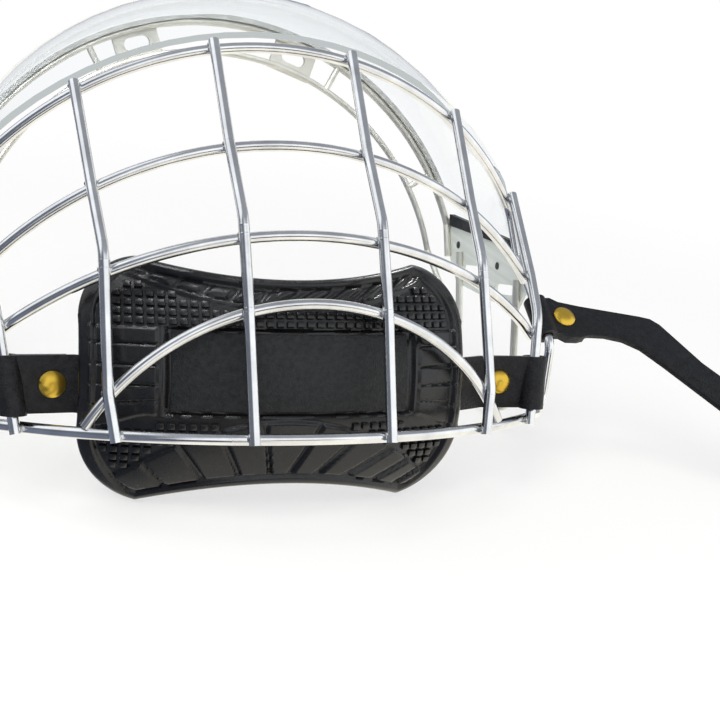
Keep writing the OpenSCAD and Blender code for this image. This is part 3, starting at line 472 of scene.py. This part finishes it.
def makeCupShell():
    clearSelection()
    bpy.ops.mesh.primitive_grid_add(x_subdivisions=cup["columns"], y_subdivisions=cup["rows"], size=2)
    shell = startPiece("cup_shell")
    edge = cupEdgeTree()
    flat = []
    for v in shell.data.vertices:
        along, up = v.co.x, v.co.y
        # the columns crowd together towards both ends
        x = cup["width"] / 2 * ((1 + cup["crowd"]) * along - cup["crowd"] * along ** 3)
        low, top = -cupFoot(x), cupTop(x)
        z = (low + top) / 2 + up * (top - low) / 2
        flat.append((x, z))
        fromEdge = 0.0 if max(abs(along), abs(up)) > 0.9999 else edge.find((x, 0, z))[2]
        v.co = onCup(x, z, cupRelief(x, z, fromEdge))
    count = len(flat)
    # the back is a plain copy of the sheet, a wall's thickness behind, bridged along the edge
    bpy.ops.object.mode_set(mode="EDIT")
    bpy.ops.mesh.select_all(action="SELECT")
    bpy.ops.mesh.duplicate()
    bpy.ops.mesh.flip_normals()
    bpy.ops.object.mode_set(mode="OBJECT")
    for i, v in enumerate(shell.data.vertices):
        if i >= count:
            x, z = flat[i - count]
            v.co = onCup(x, z, -cup["wall"])
    bpy.ops.object.mode_set(mode="EDIT")
    bpy.ops.mesh.select_all(action="DESELECT")
    bpy.ops.mesh.select_mode(type="EDGE")
    bpy.ops.mesh.select_non_manifold()
    bpy.ops.mesh.bridge_edge_loops(number_cuts=2)
    bpy.ops.mesh.select_all(action="SELECT")
    bpy.ops.mesh.normals_make_consistent(inside=False)
    bpy.ops.object.mode_set(mode="OBJECT")
    settle(shell, "chin_rest", "rubber", angle=60)
    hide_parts("chin_cup")


def studFits(x, z):
    ax = abs(x)
    edge = studs["rimThin"] if ax < studs["broadFrom"] else studs["rimBroad"]
    clear = cupTop(x) - z if z > 0 else cupFoot(x) + z
    if ax > studs["outermost"] or clear < edge:
        return False
    for turn, high in ((cup["corner"], z), (cup["lowCorner"], -z - cup["lobe"])):
        across, up = ax - (cup["width"] / 2 - turn), high - (cup["height"] / 2 - turn)
        if math.hypot(max(0, across), max(0, up)) > turn - edge - studs["cornerGap"]:
            return False
    if recess["high"] + studs["gap"] < z < bandTop(x) - studs["gap"]:
        return True
    down = studs["slatsDown"] if ax > studs["slatsFrom"] else 0
    return bandLow(x) + studs["gap"] < z < recess["low"] - studs["gap"] - down


def repeat(thing, name, count, offset):
    copies = thing.modifiers.new(name, "ARRAY")
    copies.count = count
    copies.use_relative_offset = False
    copies.use_constant_offset = True
    copies.constant_offset_displace = offset


def makeCupStuds():
    clearSelection()
    bpy.ops.mesh.primitive_cube_add(size=1, location=(0, 0, 0))
    block = startPiece("cup_studs")
    block.scale = (studs["wide"], studs["tall"], studs["up"])
    bpy.ops.object.transform_apply(scale=True)
    bpy.ops.object.mode_set(mode="EDIT")
    bpy.ops.mesh.select_all(action="SELECT")
    bpy.ops.mesh.bevel(offset=studs["bevel"], segments=2)
    bpy.ops.object.mode_set(mode="OBJECT")
    repeat(block, "rows", studs["rows"], (0, studs["pitchZ"], 0))
    repeat(block, "columns", studs["columns"], (studs["pitchX"], 0, 0))
    applyModifiers(block)
    count = studs["rows"] * studs["columns"]
    each = len(block.data.vertices) // count
    left = studs["columns"] // 2 * studs["pitchX"]
    low = studs["rows"] // 2 * studs["pitchZ"] - studs["shift"]
    mesh = bmesh.new()
    mesh.from_mesh(block.data)
    mesh.verts.ensure_lookup_table()
    drop = []
    for k in range(count):
        group = mesh.verts[k * each:(k + 1) * each]
        middle = sum((v.co for v in group), Vector()) / each
        if not studFits(middle.x - left, middle.y - low):
            drop += group
            continue
        for v in group:
            v.co = onCup(v.co.x - left, v.co.y - low, v.co.z + studs["up"] * 0.5 - studs["sunk"])
    bmesh.ops.delete(mesh, geom=drop, context="VERTS")
    mesh.to_mesh(block.data)
    mesh.free()
    settle(block, "chin_rest", "rubber")


makeCupShell()
makeCupStuds()
print("chin cup made")


# grained panel
def roundEdges(thing, width, segments):
    edge = thing.modifiers.new("edge", "BEVEL")
    edge.width = width
    edge.segments = segments
    edge.limit_method = "ANGLE"
    edge.angle_limit = math.radians(50)


def makeCupPanel():
    panel = {"left": -32.4, "right": 36.2, "low": -7.6, "high": 14.2, "under": 1.45, "thick": 0.0011,
             "edgeRound": 0.0003, "edgeSteps": 3, "columns": 60, "rows": 20}
    clearSelection()
    bpy.ops.mesh.primitive_grid_add(x_subdivisions=panel["columns"], y_subdivisions=panel["rows"], size=2)
    sheet = startPiece("panel_sheet")
    across, middle = (panel["left"] + panel["right"]) / 2, (panel["low"] + panel["high"]) / 2
    wide, tall = (panel["right"] - panel["left"]) / 2, (panel["high"] - panel["low"]) / 2
    for v in sheet.data.vertices:
        v.co = onCup(across + v.co.x * wide, middle + v.co.y * tall, -panel["under"])
    thick = sheet.modifiers.new("thick", "SOLIDIFY")
    thick.thickness = panel["thick"]
    thick.offset = 1
    roundEdges(sheet, panel["edgeRound"], panel["edgeSteps"])
    applyModifiers(sheet)
    settle(sheet, "chin_rest", "panel")
    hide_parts("cup_panel")


makeCupPanel()
print("panel made")


# straps, visor and caps, from their own solids
soft = {"merge": 0.00002, "flatWithin": 2.0, "edgeRound": 0.0004, "edgeSteps": 3}


def softCopy(name, piece, body, look, rounded=False):
    # the node's own solid with its facets merged, and its cut edges rounded over where it is soft
    clearSelection()
    thing = nodes[name].copy()
    thing.data = nodes[name].data.copy()
    for key in list(thing.keys()):
        del thing[key]
    thing.parent = None
    thing.matrix_world = Matrix.Identity(4)
    thing.name = thing.data.name = piece
    bpy.context.scene.collection.objects.link(thing)
    onlySelect(thing)
    bpy.ops.object.mode_set(mode="EDIT")
    bpy.ops.mesh.select_all(action="SELECT")
    bpy.ops.mesh.remove_doubles(threshold=soft["merge"])
    if rounded:
        bpy.ops.mesh.dissolve_limited(angle_limit=math.radians(soft["flatWithin"]))
    bpy.ops.object.mode_set(mode="OBJECT")
    if rounded:
        roundEdges(thing, soft["edgeRound"], soft["edgeSteps"])
        applyModifiers(thing)
    settle(thing, body, look)
    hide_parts(name)


softCopy("chin_strap", "chin_strap_leather", "chin_strap_body", "leather", rounded=True)
for side in ("left", "right"):
    softCopy("side_strap_" + side, "side_strap_leather_" + side, "side_strap_" + side + "_body", "leather",
             rounded=True)
print("straps made")

softCopy("visor", "visor_shell", "cage", "clear")
softCopy("chin_stud_caps", "chin_caps", "chin_strap_body", "brass")
for side in ("left", "right"):
    softCopy("side_stud_cap_" + side, "side_cap_" + side, "side_strap_" + side + "_body", "brass")
print("visor and caps made")


# weld beads
welds = {"long": 1.9, "wide": 1.1, "high": 1.54, "uneven": 0.12, "aside": 1.3, "out": 1.5, "down": 0.2,
         "turn": 0.004, "smaller": 0.75}
# where the uprights cross the wires, in the cage's frame: inner, middle and outer upright
crossings = [[(19.70, -1.15, 0.59), (20.18, 6.48, 34.03), (20.33, 12.72, 54.35), (20.78, 29.36, 79.58),
              (21.45, 47.05, 108.80)],
             [(54.56, 10.13, 0.28), (56.26, 12.33, 11.36), (56.47, 20.76, 43.65), (58.00, 35.59, 66.69),
              (60.23, 54.36, 94.65)],
             [(78.45, 27.39, 0.15), (82.45, 33.33, 27.06), (86.13, 46.26, 44.76), (89.20, 67.22, 69.81)]]


def weldSpots():
    # a nugget each side of the upright, in the crease between the two wires
    for column in crossings:
        for x, y, z in column:
            for side in (-1, 1):
                for edge in (-1, 1):
                    spot = Vector((side * x + edge * welds["aside"],
                                   y + welds["out"] - edge * side * x * welds["turn"], z - welds["down"]))
                    yield spot, 1.0 if edge * side < 0 else welds["smaller"]


def makeWelds():
    clearSelection()
    bpy.ops.mesh.primitive_uv_sphere_add(segments=14, ring_count=9, radius=1)
    bead = startPiece("weld_beads")
    bpy.ops.object.mode_set(mode="EDIT")
    bpy.ops.mesh.select_all(action="SELECT")
    bpy.ops.transform.vertex_random(offset=welds["uneven"], uniform=0.3, seed=4)
    bpy.ops.object.mode_set(mode="OBJECT")
    bead.scale = (welds["wide"] * 0.5, welds["high"] * 0.5, welds["long"] * 0.5)
    bpy.ops.object.transform_apply(scale=True)
    base = [v.co.copy() for v in bead.data.vertices]
    faces = [list(p.vertices) for p in bead.data.polygons]
    points, quads = [], []
    for spot, big in weldSpots():
        first = len(points)
        points += [place(*(spot + v * big)) for v in base]
        quads += [[first + i for i in f] for f in faces]
    mesh = bpy.data.meshes.new("weld_beads")
    mesh.from_pydata(points, [], quads)
    bead.data = mesh
    settle(bead, "cage", "weld", angle=60)


makeWelds()
print("welds made")


# table, room and lamps
def seenPlainly(tree, at):
    # 1 where the camera looks at the background itself or through the visor at it, 0 for every other ray
    path = addNode(tree, "ShaderNodeLightPath", at).outputs
    seen = addNode(tree, "ShaderNodeMath", (at[0] + 250, at[1]), {"operation": "MAXIMUM"},
                   links={0: path["Is Camera Ray"], 1: path["Is Transmission Ray"]})
    return seen.outputs[0]


def makeTable():
    look = {"size": 16, "under": 0.0002, "cloth": "F2F0EA", "nearby": 0.2, "farOff": 0.5, "whiteNearby": 0.62}
    clearSelection()
    bpy.ops.mesh.primitive_plane_add(size=look["size"], location=(0, 0, -look["under"]))
    table = startPiece("table")
    material, tree = newMaterial("white_table")
    cloth = addNode(tree, "ShaderNodeBsdfDiffuse", (0, 100), values={"Color": hexColour(look["cloth"])})
    white = addNode(tree, "ShaderNodeEmission", (0, -100),
                    values={"Color": hexColour("FFFFFF"), "Strength": 1.0})
    # away from the object the table goes over into plain white
    spot = addNode(tree, "ShaderNodeNewGeometry", (-650, 400)).outputs["Position"]
    away = addNode(tree, "ShaderNodeVectorMath", (-400, 400), {"operation": "LENGTH"}, links={0: spot})
    bare = addNode(tree, "ShaderNodeMapRange", (-200, 400), {"interpolation_type": "SMOOTHSTEP"},
                   {"From Min": look["nearby"], "From Max": look["farOff"], "To Min": look["whiteNearby"]},
                   {"Value": away.outputs["Value"]})
    share = addNode(tree, "ShaderNodeMath", (0, 250), {"operation": "MULTIPLY"},
                    links={0: seenPlainly(tree, (-400, 0)), 1: bare.outputs["Result"]})
    shown = addNode(tree, "ShaderNodeMixShader", (250, 0),
                    links={0: share.outputs[0], 1: cloth.outputs[0], 2: white.outputs[0]})
    addNode(tree, "ShaderNodeOutputMaterial", (500, 0), links={"Surface": shown.outputs[0]})
    table.data.materials.append(material)
    # metal mirrors the room's floor in its place, which has the photograph's tones
    table.visible_glossy = False


# the room as polished wire mirrors it: its walls by height, from the horizon to straight up
walls = [(0.0, "6E7588"), (0.12, "757C8C"), (0.36, "8F949F"), (0.68, "9EA2AB"), (1.0, "979CA7")]
# cards in it: the way to each, the cosines at which its soft edge starts and ends, and its colour: grey on
# the left, white low on the right, grey overhead, white high on the left and dark low towards the front
cards = [((-0.90, -0.25, 0.30), 0.68, 0.8, "60656F"), ((0.62, -0.78, 0.05), 0.36, 0.5, "F3F6FA"),
         ((0.25, 0.15, 0.957), 0.64, 0.78, "8B8F96"), ((-0.65, 0.20, 0.73), 0.84, 0.92, "EEF2F8"),
         ((0.22, -0.97, 0.08), 0.94, 0.985, "303238")]
# its floor: cream, blue-grey towards the left and dark towards the front
floor = {"colour": "F4F1E8", "cards": [((-1, 0, 0), 0.14, 0.4, "6A7183"),
                                       ((-0.24, -0.93, -0.27), 0.93, 0.99, "4A4F5C")]}
glow = {"walls": 1.3, "floor": 1.25}


def pinCards(tree, direction, colour, cards, x):
    for n, (aim, low, high, tint) in enumerate(cards):
        y = -250 - 200 * n
        dot = addNode(tree, "ShaderNodeVectorMath", (x, y), {"operation": "DOT_PRODUCT"}, {1: aim},
                      {0: direction})
        near = addNode(tree, "ShaderNodeMapRange", (x + 250, y), {"interpolation_type": "SMOOTHSTEP"},
                       {"From Min": low, "From Max": high}, {"Value": dot.outputs["Value"]})
        card = addNode(tree, "ShaderNodeMix", (x + 500, y), {"data_type": "RGBA"}, {7: hexColour(tint)},
                       {0: near.outputs["Result"], 6: colour})
        colour = card.outputs[2]
    return colour


def makeRoom():
    world = bpy.data.worlds.new("studio")
    bpy.context.scene.world = world
    world.use_nodes = True
    tree = world.node_tree
    tree.nodes.clear()
    direction = addNode(tree, "ShaderNodeTexCoord", (-900, 0)).outputs["Generated"]
    height = addNode(tree, "ShaderNodeSeparateXYZ", (-700, 0), links={0: direction}).outputs["Z"]
    grey = addNode(tree, "ShaderNodeValToRGB", (-400, 0), links={"Fac": height})
    setStops(grey, walls)
    cream = addNode(tree, "ShaderNodeRGB", (-1850, 0)).outputs[0]
    cream.default_value = hexColour(floor["colour"])
    above = addNode(tree, "ShaderNodeBackground", (300, 100), values={"Strength": glow["walls"]},
                    links={"Color": pinCards(tree, direction, grey.outputs["Color"], cards, -700)})
    below = addNode(tree, "ShaderNodeBackground", (300, -100), values={"Strength": glow["floor"]},
                    links={"Color": pinCards(tree, direction, cream, floor["cards"], -1600)})
    under = addNode(tree, "ShaderNodeMath", (300, 300), {"operation": "LESS_THAN"}, {1: 0.0}, {0: height})
    around = addNode(tree, "ShaderNodeMixShader", (600, 0),
                     links={0: under.outputs[0], 1: above.outputs[0], 2: below.outputs[0]})
    white = addNode(tree, "ShaderNodeBackground", (600, -200),
                    values={"Color": hexColour("FFFFFF"), "Strength": 1.0})
    shown = addNode(tree, "ShaderNodeMixShader", (900, 0),
                    links={0: seenPlainly(tree, (300, 500)), 1: around.outputs[0], 2: white.outputs[0]})
    addNode(tree, "ShaderNodeOutputWorld", (1150, 0), links={"Surface": shown.outputs[0]})



# place, size, watts and whether it lights the cup alone
lamps = {"key": ((-0.55, -0.75, 0.95), 0.7, 9.0, False), "top": ((-0.22, -0.12, 1.05), 0.5, 3.2, False),
         "rear": ((0.55, 0.32, 0.85), 0.13, 4.0, True), "front": ((-0.22, -0.12, 1.05), 0.14, 6.0, True)}


def makeLamps():
    target = Vector((0, 0, 0.05))
    for name, (at, size, watts, cupOnly) in lamps.items():
        bpy.ops.object.light_add(type="AREA", location=at)
        lamp = startPiece(name + "_lamp")
        lamp.data.shape = "SQUARE"
        lamp.data.size = size
        lamp.data.energy = watts
        lamp.rotation_euler = (target - Vector(at)).to_track_quat("-Z", "Y").to_euler()
        lamp.visible_glossy = cupOnly
        if cupOnly:
            lit = bpy.data.collections.new(name + "_light")
            for part in ("cup_shell", "cup_studs"):
                lit.objects.link(bpy.data.objects[part])
            lamp.light_linking.receiver_collection = lit


makeTable()
makeRoom()
makeLamps()
print("table, room and lamps set")
